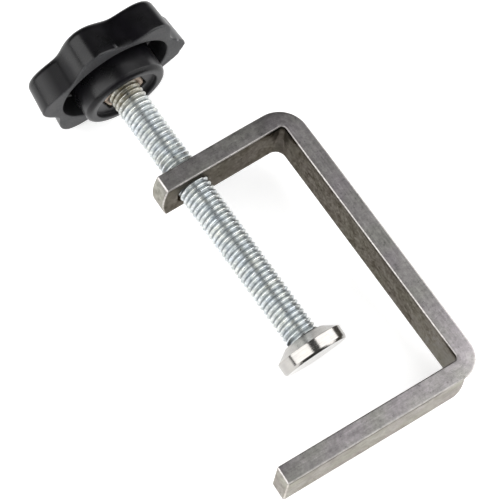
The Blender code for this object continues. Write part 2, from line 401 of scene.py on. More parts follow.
def mill_steel():
    """Flat bar as it comes from the mill: lengthwise grain, mottled scale, edges bright from wear
    and a painted highlight.
    """
    material, tree, shader = new_material("mill_steel", (0.17, 0.155, 0.155), 0.42, 1.0)
    surface = add(tree, "ShaderNodeUVMap", uv_map="along_bar").outputs["UV"]
    place = object_place(tree)
    grain = noise(tree, stretch(tree, surface, (110.0, 2400.0, 1.0)), 1.0, 4.0, 0.6)
    fine_grain = noise(tree, stretch(tree, surface, (500.0, 9000.0, 1.0)), 1.0, 2.0, 0.5)
    mottle = noise(tree, place, 330.0, 5.0, 0.68)
    tint = noise(tree, place, 130.0, 3.0, 0.5)
    pits = noise(tree, place, 1500.0, 3.0, 0.65)
    speckle = noise(tree, place, 1150.0, 4.0, 0.75)

    side = attribute(tree, "side").outputs["Fac"]
    colour = mix(tree, remap(tree, side, 0.0, -0.9, 0.0, 1.0),
                 FRONT_STEEL, INNER_STEEL)
    colour = mix(tree, remap(tree, side, 0.1, 1.0, 0.0, 1.0), colour, OUTER_STEEL)
    tinted = mix(tree, remap(tree, tint, 0.36, 0.64, 0.0, 1.0),
                 (1.02, 0.98, 1.02), (0.99, 1.0, 0.95))
    colour = mix(tree, 1.0, colour, tinted, "MULTIPLY")
    shade = remap(tree, mottle, 0.32, 0.68, 0.76, 1.24)
    shade = combine(tree, shade, remap(tree, grain, 0.3, 0.7, 0.86, 1.14), "MULTIPLY")
    shade = combine(tree, shade, remap(tree, pits, 0.60, 0.70, 1.0, 0.62), "MULTIPLY")
    shade = combine(tree, shade, remap(tree, speckle, 0.3, 0.7, 0.78, 1.22), "MULTIPLY")
    # Painted light along the bar; the outer face takes its even gain instead.
    light_gain = mix(tree, remap(tree, side, 0.1, 1.0, 0.0, 1.0),
                  painted_light_along_bar(tree, surface), OUTER_FACE_GAIN)
    shade = combine(tree, shade, light_gain, "MULTIPLY")
    # Painted shade: darkens the line beside the edges, the crease of the inner bends and the
    # tapped hole.
    painted_shade = attribute(tree, "painted_shade").outputs["Fac"]
    shade = combine(tree, shade, remap(tree, painted_shade, 0.0, 1.0, 1.0, 0.18), "MULTIPLY")
    colour = mix(tree, 1.0, colour, shade, "MULTIPLY")
    # The grazing tint takes the same shade, painted light and painted shade included.
    glancing = mix(tree, 1.0, GLANCING_STEEL, shade, "MULTIPLY")
    glancing = mix(tree, 1.0, glancing, remap(tree, speckle, 0.3, 0.7, 0.7, 1.3), "MULTIPLY")
    tree.links.new(glancing, shader.inputs["Specular Tint"])
    # The rounded edges are painted brighter: partly wear, partly a painted highlight.
    wear_and_sheen = attribute(tree, "edge_wear_and_sheen").outputs["Fac"]
    worn_and_sheen_edge = combine(tree, wear_and_sheen, remap(tree, pits, 0.35, 0.6, 1.0, 0.55), "MULTIPLY")
    colour = mix(tree, worn_and_sheen_edge, colour, WORN_AND_SHEEN_STEEL)
    tree.links.new(colour, shader.inputs["Base Color"])

    rough = remap(tree, mottle, 0.3, 0.7, 0.36, 0.50)
    rough = combine(tree, rough, remap(tree, wear_and_sheen, 0.0, 1.0, 0.0, -0.08))
    tree.links.new(rough, shader.inputs["Roughness"])

    relief = bump(tree, grain, 0.000014, 0.6)
    relief = bump(tree, fine_grain, 0.000006, 0.5, relief)
    relief = bump(tree, pits, 0.000012, 0.5, relief)
    tree.links.new(relief, shader.inputs["Normal"])
    return material


def zinc_plate():
    """Bright zinc on a rolled thread: bluish and straw tints, painted shade and rougher in the
    grooves.
    """
    material, tree, shader = new_material("zinc_plate", (0.74, 0.77, 0.78), 0.24, 1.0)
    place = object_place(tree)
    tint = noise(tree, place, 420.0, 3.0, 0.55)
    blotch = noise(tree, place, 900.0, 4.0, 0.65)
    grit = noise(tree, place, 4200.0, 2.0, 0.6)
    depth = attribute(tree, "groove_depth").outputs["Fac"]
    colour = mix(tree, remap(tree, tint, 0.35, 0.65, 0.0, 1.0),
                 (0.66, 0.70, 0.74), (0.76, 0.77, 0.73))
    colour = mix(tree, remap(tree, blotch, 0.42, 0.66, 0.0, 0.7), colour, (0.36, 0.40, 0.40))
    # Painted shade: the thread's grooves are painted darker.
    colour = mix(tree, remap(tree, depth, 0.45, 1.0, 0.0, 0.85), colour, (0.15, 0.17, 0.18))
    # The thread is mixed to a dark brown just below the knob, in patches.
    dark_below_knob = attribute(tree, "dark_below_knob").outputs["Fac"]
    dark_below_knob = combine(tree, dark_below_knob, remap(tree, blotch, 0.3, 0.7, 0.3, 1.0), "MULTIPLY")
    colour = mix(tree, dark_below_knob, colour, (0.20, 0.17, 0.10))
    tree.links.new(colour, shader.inputs["Base Color"])
    rough = remap(tree, blotch, 0.3, 0.7, 0.20, 0.42)
    rough = combine(tree, rough, remap(tree, depth, 0.4, 1.0, 0.0, 0.2))
    tree.links.new(rough, shader.inputs["Roughness"])
    relief = bump(tree, blotch, 0.00008, 0.6)
    relief = bump(tree, grit, 0.000008, 0.4, relief)
    tree.links.new(relief, shader.inputs["Normal"])
    return material


def turned_stainless():
    """Turned on a lathe: fine rings round the axis, polished on the side, duller on the cone."""
    material, tree, shader = new_material("turned_stainless", (0.44, 0.425, 0.40), 0.12, 1.0)
    place = object_place(tree)
    radius = attribute(tree, "from_axis").outputs["Fac"]
    height = attribute(tree, "height").outputs["Fac"]
    rings_at = add(tree, "ShaderNodeCombineXYZ", {"X": radius, "Y": height}).outputs["Vector"]
    rings = noise(tree, rings_at, 9000.0, 2.0, 0.5)
    cloud = noise(tree, place, 500.0, 3.0, 0.5)
    colour = mix(tree, remap(tree, cloud, 0.35, 0.65, 0.0, 1.0),
                 (0.46, 0.445, 0.42), (0.41, 0.395, 0.38))
    colour = mix(tree, 1.0, colour, remap(tree, rings, 0.3, 0.7, 0.88, 1.12), "MULTIPLY")
    tree.links.new(colour, shader.inputs["Base Color"])
    cone = attribute(tree, "dull").outputs["Fac"]
    rough = remap(tree, cone, 0.0, 1.0, 0.15, 0.34)
    rough = combine(tree, rough, remap(tree, rings, 0.3, 0.7, 0.0, 0.05))
    tree.links.new(rough, shader.inputs["Roughness"])
    tree.links.new(bump(tree, rings, 0.000003, 0.5), shader.inputs["Normal"])
    return material


def black_plastic():
    """Glossy moulded black plastic, satin on the faces that the mould's core formed."""
    material, tree, shader = new_material("black_plastic", (0.004, 0.004, 0.005), 0.24, 0.0)
    place = object_place(tree)
    cloud = noise(tree, place, 240.0, 3.0, 0.5)
    texture = noise(tree, place, 2600.0, 3.0, 0.6)
    satin = attribute(tree, "satin").outputs["Fac"]
    matt = attribute(tree, "matt").outputs["Fac"]
    tree.links.new(remap(tree, matt, 0.0, 1.0, 0.42, 0.14), shader.inputs["Specular IOR Level"])
    colour = mix(tree, remap(tree, cloud, 0.3, 0.7, 0.0, 1.0),
                 (0.0022, 0.0022, 0.0024), (0.0040, 0.0034, 0.0050))
    colour = mix(tree, satin, colour, (0.022, 0.022, 0.024))
    chafe = remap(tree, texture, 0.50, 0.60, 0.0, 0.35)
    chafe = combine(tree, chafe, satin, "MULTIPLY")
    colour = mix(tree, chafe, colour, (0.075, 0.075, 0.078))
    scuff = attribute(tree, "scuff").outputs["Fac"]
    scuff = combine(tree, scuff, remap(tree, texture, 0.38, 0.52, 0.0, 1.0), "MULTIPLY")
    colour = mix(tree, scuff, colour, (0.42, 0.42, 0.43))
    tree.links.new(colour, shader.inputs["Base Color"])
    rough = remap(tree, cloud, 0.3, 0.7, 0.25, 0.33)
    rough = combine(tree, rough, remap(tree, satin, 0.0, 1.0, 0.0, 0.26))
    tree.links.new(rough, shader.inputs["Roughness"])
    relief = bump(tree, cloud, 0.00006, 0.35)
    relief = bump(tree, texture, 0.000008, 0.25, relief)
    tree.links.new(relief, shader.inputs["Normal"])
    return material


def rusty_steel():
    """Bare steel with brown rust and pale scale."""
    material, tree, shader = new_material("rusty_steel", (0.36, 0.25, 0.19), 0.6, 0.6)
    place = object_place(tree)
    patches = noise(tree, place, 420.0, 4.0, 0.65)
    scale_spots = noise(tree, place, 700.0, 3.0, 0.6, 0.4)
    grit = noise(tree, place, 3200.0, 3.0, 0.7)
    colour = mix(tree, remap(tree, patches, 0.38, 0.62, 0.0, 1.0),
                 (0.28, 0.20, 0.14), (0.62, 0.50, 0.41))
    colour = mix(tree, remap(tree, scale_spots, 0.55, 0.66, 0.0, 0.85), colour,
                 (0.72, 0.66, 0.54))
    tree.links.new(colour, shader.inputs["Base Color"])
    tree.links.new(remap(tree, patches, 0.3, 0.7, 0.42, 0.75), shader.inputs["Roughness"])
    tree.links.new(remap(tree, patches, 0.4, 0.6, 0.2, 0.75), shader.inputs["Metallic"])
    relief = bump(tree, patches, 0.00008, 0.6)
    relief = bump(tree, grit, 0.00002, 0.5, relief)
    tree.links.new(relief, shader.inputs["Normal"])
    return material


def spring_steel():
    material, tree, shader = new_material("spring_steel", (0.52, 0.52, 0.52), 0.3, 1.0)
    place = object_place(tree)
    cloud = noise(tree, place, 900.0, 3.0, 0.5)
    tree.links.new(mix(tree, cloud, (0.42, 0.42, 0.43), (0.60, 0.60, 0.58)),
                   shader.inputs["Base Color"])
    tree.links.new(remap(tree, cloud, 0.3, 0.7, 0.24, 0.38), shader.inputs["Roughness"])
    tree.links.new(bump(tree, cloud, 0.00001, 0.4), shader.inputs["Normal"])
    return material


def set_attribute(obj, name, value_at):
    """Stores a number at every vertex; value_at takes the vertex's place in the object's frame."""
    mesh = obj.data
    layer = mesh.attributes.new(name, "FLOAT", "POINT")
    for vert, item in zip(mesh.vertices, layer.data):
        item.value = value_at(vert.co)


def clamp01(value):
    return max(0.0, min(1.0, value))


# ---------------------------------------------------------------- frame

EDGE_STEPS = 4
BEND_STEPS = 18
BEND_SPREAD = 0.0075
BEND_SAG = 0.00045
BEND_BULGE = 0.00012
LOWER_BACK_RADIUS = 0.0069
UPPER_BACK_INNER_RADIUS = 0.0027
EDGE_LINE = 0.0010
SKIN = 0.00001
EDGE_MARGIN = 0.00001
LEAST_EDGE = 0.3
# How soon across the bar the back's wider curve takes over: powers of the share of the width.
OUTER_BACK_SHARE = 0.4
INNER_BACK_SHARE = 1.5
# Painted shade: a dark line beside the rounded edges of the uppermost side, for a dark reflection,
# weaker on the inner face.
EDGE_PAINTED_SHADE = 0.8
INNER_EDGE_PAINTED_SHADE = 0.5
# Painted shade in the crease of each inner bend, near the uppermost side; less where the edge is
# bright.
BEND_PAINTED_SHADE_SLOPE = 4
BEND_PAINTED_SHADE_START = 2.6
BEND_PAINTED_SHADE_EDGE_LOSS = 0.4
# How much of the edges' wear and painted highlight the inner bends lose.
BEND_WEAR_AND_SHEEN_LOSS = 0.55
# Where sections lie beside a bend, as lengths from it, and the gap before the even spacing.
NEAR_BEND = (0.0008, 0.0017, 0.0027, 0.0038, 0.0050, 0.0063, 0.0078)
NEAR_BEND_GAP = 0.001


def half_section(inset):
    """One face's half of the bar's section, from the front side's middle to the back side's.

    Gives (across, depth, edge brightness, facing) for each point. Depth runs from this face
    inwards;
    the edge brightness, partly wear and partly a painted highlight, is 1 on the rounded edges, and
    facing is 1 on this face and 0 on the bar's narrow sides.
    """
    half_width = BAR_WIDTH / 2 - inset
    middle = BAR_THICKNESS / 2
    edge = max(BAR_EDGE_RADIUS - inset, BAR_EDGE_RADIUS * LEAST_EDGE)
    flat = half_width - edge
    front = [(-half_width, middle, 0.0, 0.0),
             (-half_width, (middle + inset + edge) / 2, 0.0, 0.0)]
    for turn in quarter_turns(EDGE_STEPS):
        front.append((-half_width + edge * (1 - math.cos(turn)),
                      inset + edge * (1 - math.sin(turn)),
                      math.sin(2 * turn), math.sin(turn) ** 2))
    front.append((EDGE_LINE - flat, inset, 0.0, 1.0))
    front += [(-flat * (1 - k / 4), inset, 0.0, 1.0) for k in range(1, 4)]
    back = [(-point[0], *point[1:]) for point in reversed(front)]
    return front + [(0.0, inset, 0.0, 1.0)] + back


def bar_ring(cut_line, inset=0.0, tip=0.0, upset=0.0):
    """One section of the bar, through a cut line from frame_outline().

    tip is how far this section has the plan curve of the upper arm's end. upset is how far it is
    misshapen by the bending: the outer face sinks between its edges and the inner edge bulges out.
    Gives (place, edge brightness, side, painted shade) for each point. The edge brightness is
    partly wear and partly a painted highlight; side is 1 on the outer face and -1 on the inner
    one; painted shade is a dark line beside the uppermost side's edges and in the crease of the
    inner bends.
    """
    outer_front, inner_front, outer_back, inner_back = cut_line
    half_width = BAR_WIDTH / 2
    face = half_section(inset)
    ring = []
    for side, points in ((1, face), (-1, list(reversed(face))[1:-1])):
        for across_bar, depth, wear_and_sheen, facing in points:
            deep = depth if side > 0 else BAR_THICKNESS - depth
            towards_outer = 1 - 2 * deep / BAR_THICKNESS
            if towards_outer > 0:
                hollow = 1 - (across_bar / half_width) ** 2
                deep += upset * BEND_SAG * hollow * towards_outer
                across_bar *= 1 - upset * BEND_BULGE / half_width * towards_outer
            elif across_bar < 0:
                across_bar += upset * BEND_BULGE * towards_outer
            back = clamp01(across_bar / BAR_WIDTH + 0.5)
            outer = outer_front.lerp(outer_back, back ** OUTER_BACK_SHARE)
            inner = inner_front.lerp(inner_back, back ** INNER_BACK_SHARE)
            place = outer.lerp(inner, deep / BAR_THICKNESS)
            at_edge = 1.0 if -across_bar > half_width - BAR_EDGE_RADIUS - EDGE_MARGIN else 0.0
            # Painted shade: a dark line beside the uppermost side's rounded edge, for a dark
            # reflection.
            painted_shade = (1 - wear_and_sheen) * at_edge * facing * EDGE_PAINTED_SHADE
            if side < 0:
                # Painted shade in the crease of the inner bends, near the uppermost side.
                near_front = -across_bar / half_width * BEND_PAINTED_SHADE_SLOPE - BEND_PAINTED_SHADE_START
                in_bend = upset * clamp01(near_front) * facing
                painted_shade = max(painted_shade * INNER_EDGE_PAINTED_SHADE, in_bend * (1 - wear_and_sheen * BEND_PAINTED_SHADE_EDGE_LOSS))
                # The inner bends get less of the edges' wear and painted highlight.
                wear_and_sheen *= 1 - BEND_WEAR_AND_SHEEN_LOSS * upset
            bow = TIP_PLAN_RADIUS - math.sqrt(TIP_PLAN_RADIUS ** 2 - across_bar ** 2)
            ring.append((Vector((place.x + tip * bow, across_bar, place.y)),
                         wear_and_sheen, side * facing, painted_shade))
    return ring


def frame_outline():
    """The (X, Z) outlines of the bar from the lower end to the upper end, as cut lines.

    Each cut line has the outer and inner point on the front side, then those on the back side,
    which follows wider curves in the two bends.
    """
    toe, splay = math.tan(LOWER_TOE_IN), math.tan(UPPER_SPLAY)
    low_outer = Vector((-LOWER_REACH, LOWER_REACH * toe))
    high_outer = Vector((-UPPER_REACH, FRAME_HEIGHT + UPPER_REACH * splay))
    low_through = Vector((math.sin(LOWER_TOE_IN), math.cos(LOWER_TOE_IN))) * BAR_THICKNESS
    high_through = Vector((math.sin(UPPER_SPLAY), math.cos(UPPER_SPLAY))) * BAR_THICKNESS
    low_inner = low_outer + low_through
    high_inner = high_outer - high_through
    low_corner, high_corner = Vector((-SKIN, 0.0)), Vector((-SKIN, FRAME_HEIGHT))
    low_rise = BAR_THICKNESS / math.cos(LOWER_TOE_IN) + BAR_THICKNESS * toe
    high_drop = BAR_THICKNESS / math.cos(UPPER_SPLAY) - BAR_THICKNESS * splay
    low_inside = Vector((-BAR_THICKNESS, low_rise))
    high_inside = Vector((-BAR_THICKNESS, FRAME_HEIGHT - high_drop))

    def outer_line(low_radius):
        line = fillet(low_outer, low_corner, high_corner, low_radius, BEND_STEPS)
        line += fillet(low_corner, high_corner, high_outer, UPPER_BEND_RADIUS, BEND_STEPS)
        return [low_outer] + line + [high_outer]

    def inner_line(high_radius):
        line = fillet(low_inner, low_inside, high_inside, BEND_INNER_RADIUS, BEND_STEPS)
        line += fillet(low_inside, high_inside, high_inner, high_radius, BEND_STEPS)
        return [low_inner] + line + [high_inner]

    return list(zip(outer_line(LOWER_BEND_RADIUS), inner_line(BEND_INNER_RADIUS),
                    outer_line(LOWER_BACK_RADIUS), inner_line(UPPER_BACK_INNER_RADIUS)))


def straight_run(start, end, bend_before, bend_after, plan_tip=0.0):
    """The sections between two cut lines, closer together beside a bend."""
    length = (end[1] - start[1]).length
    places = [length * k / 8 for k in range(1, 8)]
    if bend_before:
        kept = [d for d in places if d > NEAR_BEND[-1] + NEAR_BEND_GAP]
        places = list(NEAR_BEND) + kept
    if bend_after:
        kept = [d for d in places if d < length - NEAR_BEND[-1] - NEAR_BEND_GAP]
        places = kept + [length - d for d in reversed(NEAR_BEND)]
    made = []
    for at in places:
        share = at / length
        beside = min(at if bend_before else length, length - at if bend_after else length)
        fade = clamp01(1 - beside / BEND_SPREAD)
        upset = fade * fade * (3 - 2 * fade)
        tip = plan_tip * clamp01((share - 0.5) / 0.5)
        cut_line = [near.lerp(far, share) for near, far in zip(start, end)]
        made.append(bar_ring(cut_line, 0.0, tip, upset))
    return made


def end_sections(end, inwards, tip):
    """The rounded end of an arm, from its last full section outwards."""
    made = []
    step = [(further - near).normalized() for near, further in zip(end, inwards)]
    for turn in quarter_turns(EDGE_STEPS):
        back = BAR_EDGE_RADIUS * (1 - math.sin(turn))
        inset = BAR_EDGE_RADIUS * (1 - math.cos(turn))
        ring = bar_ring([point + way * back for point, way in zip(end, step)], inset, tip)
        facing_end = math.sin(turn) ** 2
        # The end's rounded edge is brightened too: partly wear, partly a painted highlight.
        edge = math.sin(2 * turn)
        made.append([
            (place, max(wear_and_sheen * (1 - facing_end), edge), side + (1 - side) * facing_end, painted_shade)
            for place, wear_and_sheen, side, painted_shade in ring
        ])
    return made


def build_frame():
    """The bent bar, with its grain's direction as UVs; returns each point's edge brightness and
    painted shade too.
    """
    cuts = frame_outline()
    low_bend = cuts[1:BEND_STEPS + 2]
    high_bend = cuts[BEND_STEPS + 2:-1]
    rings = list(reversed(end_sections(cuts[0], low_bend[0], 0.0)))
    rings += straight_run(cuts[0], low_bend[0], False, True)
    rings += [bar_ring(cut_line, upset=1.0) for cut_line in low_bend]
    rings += straight_run(low_bend[-1], high_bend[0], True, True)
    rings += [bar_ring(cut_line, upset=1.0) for cut_line in high_bend]
    rings += straight_run(high_bend[-1], cuts[-1], True, False, 1.0)
    rings += end_sections(cuts[-1], high_bend[-1], 1.0)

    count = len(rings[0])
    data = [item for ring in rings for item in ring]
    indices = [[r * count + i for i in range(count)] for r in range(len(rings))]
    faces = ring_faces(indices)
    half = count // 2
    # Each cap has one polygon at either narrow side, over this many points each way, and quads.
    on_edge = 3
    for ring in (indices[0], indices[-1]):
        faces.append([ring[k % count] for k in range(-on_edge, on_edge + 1)])
        faces += [[ring[k], ring[k + 1], ring[count - k - 1], ring[count - k]]
                  for k in range(on_edge, half - on_edge)]
        faces.append([ring[k] for k in range(half - on_edge, half + on_edge + 1)])
    mesh = bpy.data.meshes.new("clamp_frame")
    mesh.from_pydata([tuple(item[0]) for item in data], [], faces)

    lengths = [0.0]
    for before, after in zip(rings, rings[1:]):
        lengths.append(lengths[-1] + (after[half // 2][0] - before[half // 2][0]).length)
    typical = rings[len(rings) // 2]
    girths = [0.0]
    for before, after in zip(typical, typical[1:]):
        girths.append(girths[-1] + (after[0] - before[0]).length)
    full_girth = girths[-1] + (typical[-1][0] - typical[0][0]).length
    layer = mesh.uv_layers.new(name="along_bar")
    for polygon in mesh.polygons:
        corners = [mesh.loops[k].vertex_index for k in polygon.loop_indices]
        wraps = {v % count for v in corners} >= {0, count - 1}
        for k, v in zip(polygon.loop_indices, corners):
            girth = full_girth if wraps and v % count == 0 else girths[v % count]
            layer.data[k].uv = (lengths[v // count], girth)
    work = bmesh.new()
    work.from_mesh(mesh)
    bmesh.ops.recalc_face_normals(work, faces=work.faces)
    work.to_mesh(mesh)
    work.free()
    made = bpy.data.objects.new("clamp_frame", mesh)
    bpy.context.scene.collection.objects.link(made)
    made.matrix_world = CLAMP
    return made, data


def mark_frame(obj, data):
    """Stores edge wear and highlight, side and painted shade per vertex, from the plain bar's
    nearest point.
    """
    tree = KDTree(len(data))
    for i, item in enumerate(data):
        tree.insert(item[0], i)
    tree.balance()
    found = {}

    def nearest(place):
        key = tuple(place)
        if key not in found:
            found[key] = data[tree.find(place)[1]]
        return found[key]

    def in_hole(place):
        beside_axis = math.hypot(place.x - SCREW_X, place.y)
        return place.z > FRAME_HEIGHT / 2 and beside_axis < CREST_RADIUS + HOLE_CHAMFER * 0.9

    # Inside the tapped hole the bar is painted dark as shade: the inner faces' colour, no bright
    # edge and painted shade.
    set_attribute(obj, "edge_wear_and_sheen", lambda place: 0.0 if in_hole(place) else nearest(place)[1])
    set_attribute(obj, "side", lambda place: -1.0 if in_hole(place) else nearest(place)[2])
    set_attribute(obj, "painted_shade", lambda place: 0.6 if in_hole(place) else nearest(place)[3])


# ---------------------------------------------------------------- screw

THREAD_POINTS = (
    (0.00, 0.00),
    (0.10, 0.04),
    (0.165, 0.16),
    (0.405, 0.90),
    (0.50, 1.00),
    (0.595, 0.90),
    (0.835, 0.16),
    (0.90, 0.04),
)
THREAD_STEPS = 60
PAST_CREST = 0.0001
# How far down the thread the darker, browner band below the knob reaches, and its fade.
DARK_BELOW_KNOB_LENGTH = 0.004
DARK_BELOW_KNOB_FADE = 0.003


def thread_solid(name, bottom, top, crest, root):
    """A helical thread about Z, longer than asked by a turn at each end, closed by fans."""
    first_turn = math.floor(bottom / PITCH) - 1
    turns = math.ceil((top - bottom) / PITCH) + 3
    rows = [(turn + share, depth) for turn in range(turns) for share, depth in THREAD_POINTS]
    points = []
    for position, depth in rows:
        for i in range(THREAD_STEPS):
            turn = i / THREAD_STEPS
            radius = crest + (root - crest) * depth
            place = polar(radius, 2 * math.pi * turn)
            height = PITCH * (first_turn + position + turn)
            points.append((place.x, place.y, height))
    per_turn = len(THREAD_POINTS)
    faces = []
    last_row = len(rows) - 1

    def at(row, i):
        """A point of the helical grid; past the last column it continues one turn higher."""
        if i == THREAD_STEPS:
            return (row + per_turn) * THREAD_STEPS
        return row * THREAD_STEPS + i

    for row in range(last_row):
        for i in range(THREAD_STEPS):
            if i == THREAD_STEPS - 1 and row + 1 + per_turn > last_row:
                continue
            faces.append([at(row, i), at(row, i + 1), at(row + 1, i + 1), at(row + 1, i)])
    low = len(points)
    points.append((0.0, 0.0, PITCH * first_turn))
    high = len(points)
    points.append((0.0, 0.0, PITCH * (first_turn + turns + 1)))
    bottom_edge = [at(0, i) for i in range(THREAD_STEPS)]
    bottom_edge += [row * THREAD_STEPS for row in range(per_turn, 0, -1)]
    top_edge = [last_row * THREAD_STEPS + i for i in range(THREAD_STEPS)]
    first_open = last_row - per_turn
    top_edge += [row * THREAD_STEPS + THREAD_STEPS - 1
                 for row in range(last_row - 1, first_open - 1, -1)]
    for edge, tip in ((bottom_edge, low), (top_edge, high)):
        for a, b in zip(edge, edge[1:] + edge[:1]):
            faces.append([a, b, tip])
    return points, faces


def build_screw():
    bottom = PIVOT_Z + SHANK_END
    points, faces = thread_solid("thread", bottom, SCREW_TOP, CREST_RADIUS, ROOT_RADIUS)
    at_screw = CLAMP @ Matrix.Translation((SCREW_X, 0.0, 0.0))
    screw = new_object("clamp_screw", points, faces, at_screw, 70.0)
    envelope = lathe("screw_envelope", [
        (0.0, SCREW_TOP),
        (CREST_RADIUS - SCREW_CHAMFER, SCREW_TOP),
        (CREST_RADIUS + PAST_CREST, SCREW_TOP - SCREW_CHAMFER - PAST_CREST),
        (CREST_RADIUS + PAST_CREST, bottom + SHANK_CHAMFER + PAST_CREST),
        (CREST_RADIUS - SHANK_CHAMFER, bottom),
        (0.0, bottom),
    ], at_screw, 61)
    boolean(screw, envelope, "INTERSECT")
    groove_top = PIVOT_Z + PIN_GROOVE_TOP
    groove_bottom = PIVOT_Z + PIN_GROOVE_BOTTOM
    nose = PIVOT_Z + PIN_NOSE
    pin = lathe("screw_pin", rounded([
        (0.0, bottom + PITCH),
        (PIN_RADIUS, bottom + PITCH),
        (PIN_RADIUS, groove_top),
        (PIN_GROOVE_RADIUS, groove_top),
        (PIN_GROOVE_RADIUS, groove_bottom),
        (PIN_RADIUS, groove_bottom),
        (PIN_RADIUS, nose),
        (0.0, nose),
    ], [0, 0, 0.00006, 0.00006, 0.00006, 0.00006, 0.0003, 0]), at_screw, 53)
    boolean(screw, pin, "UNION")
    clean(screw)
    return screw


def groove_depth(place):
    radius = math.hypot(place.x, place.y)
    return clamp01((CREST_RADIUS - radius) / (CREST_RADIUS - ROOT_RADIUS))


def screw_dark_below_knob(place):
    """The thread is darker and browner just below the knob."""
    return clamp01((place.z - HUB_END_Z + DARK_BELOW_KNOB_LENGTH) / DARK_BELOW_KNOB_FADE)


def cut_tapped_hole(target):
    arm_top = FRAME_HEIGHT - SCREW_X * math.tan(UPPER_SPLAY)
    arm_bottom = arm_top - BAR_THICKNESS
    at_screw = CLAMP @ Matrix.Translation((SCREW_X, 0.0, 0.0))
    wide = CREST_RADIUS + HOLE_CHAMFER + 0.002
    points, faces = thread_solid("tap", arm_bottom - 0.001, arm_top + 0.001,
                                 CREST_RADIUS + THREAD_CLEARANCE, ROOT_RADIUS + THREAD_CLEARANCE)
    tap = new_object("tap", points, faces, at_screw, 70.0)
    countersink = CREST_RADIUS + HOLE_CHAMFER
    cones = lathe("countersinks", [
        (0.0, arm_top + 0.002),
        (wide, arm_top + 0.002),
        (countersink, arm_top),
        (0.0, arm_top - countersink),
    ], at_screw, 96)
    boolean(target, tap)
    boolean(target, cones)
    cones = lathe("countersinks", [
        (0.0, arm_bottom + countersink),
        (countersink, arm_bottom),
        (wide, arm_bottom - 0.002),
        (0.0, arm_bottom - 0.002),
    ], at_screw, 96)
    boolean(target, cones)


# ---------------------------------------------------------------- foot

def build_foot():
    profile = rounded([
        (0.0, FOOT_FLOOR),
        (FOOT_BORE_RADIUS, FOOT_FLOOR),
        (FOOT_BORE_RADIUS, FOOT_LIP_BOTTOM),
        (FOOT_LIP_RADIUS, FOOT_LIP_BOTTOM),
        (FOOT_LIP_RADIUS, FOOT_RECESS_FLOOR),
        (FOOT_RECESS_FLOOR_RADIUS, FOOT_RECESS_FLOOR),
        (FOOT_RECESS_MOUTH_RADIUS, FOOT_TOP),
        (FOOT_TOP_RADIUS, FOOT_TOP),
        (FOOT_RADIUS, FOOT_SIDE_TOP),
        (FOOT_RADIUS, FOOT_BOTTOM + FOOT_EDGE_HEIGHT),
        (FOOT_RADIUS - FOOT_EDGE_INSET, FOOT_BOTTOM),
        (0.0, FOOT_BOTTOM),
    ], [0, 0.0002, 0.0001, 0.0001, 0.0001, 0.0002, 0.00006, 0.00006, 0.00012, 0.00012, 0.0001, 0],
        5)
    return lathe("clamp_foot", profile, FOOT, 160, 30.0)


def foot_dull(place):
    radius = math.hypot(place.x, place.y)
    on_cone = place.z > FOOT_SIDE_TOP + 0.0001 and radius < FOOT_RADIUS - 0.00005
    return 1.0 if on_cone else 0.0


# ---------------------------------------------------------------- knob

KNOB_STEPS = 288
# Scrapes on the rim: angle in degrees, radius, height, size.
SCUFFS = (
    (352.0, 0.0172, RIM_HEIGHT, 0.0004),
    (357.0, 0.0170, RIM_HEIGHT, 0.0003),
    (341.0, 0.0178, RIM_HEIGHT, 0.0003),
    (270.0, 0.0171, RIM_HEIGHT + 0.0006, 0.0003),
)
NICK_ANGLE = math.radians(13.0)
NICK_SPREAD = math.radians(5.0)
NICK_DEPTH = 0.0010
NICK_HEIGHT = 0.0022
NICK_FADE = 0.0014
HUB_MATT = 0.8
GROOVE_MATT = 0.3
GROOVE_MATT_SWING = 1.2
SCUFF_REACH = 1.5


def star_radius(angle, shrink=0.0):
    return STAR_MEAN_RADIUS - shrink + STAR_WAVE * math.cos(LOBES * (angle - LOBE_PHASE))


def nick(angle, height):
    """A chip broken from the rim's edge, with a ragged outline."""
    away = abs(angle - NICK_ANGLE) / NICK_SPREAD
    if away >= 1 or height > RIM_HEIGHT + NICK_HEIGHT:
        return 0.0
    ragged = 0.6 + 0.4 * math.sin(angle * 90.0) * math.cos(angle * 37.0)
    low = clamp01((RIM_HEIGHT + NICK_HEIGHT - height) / NICK_FADE)
    return NICK_DEPTH * (1 - away) ** 0.5 * ragged * low


def hexagon_radius(angle, flats):
    corner = (angle - LOBE_PHASE) % (math.pi / 3)
    return flats / 2 / math.cos(corner - math.pi / 6)


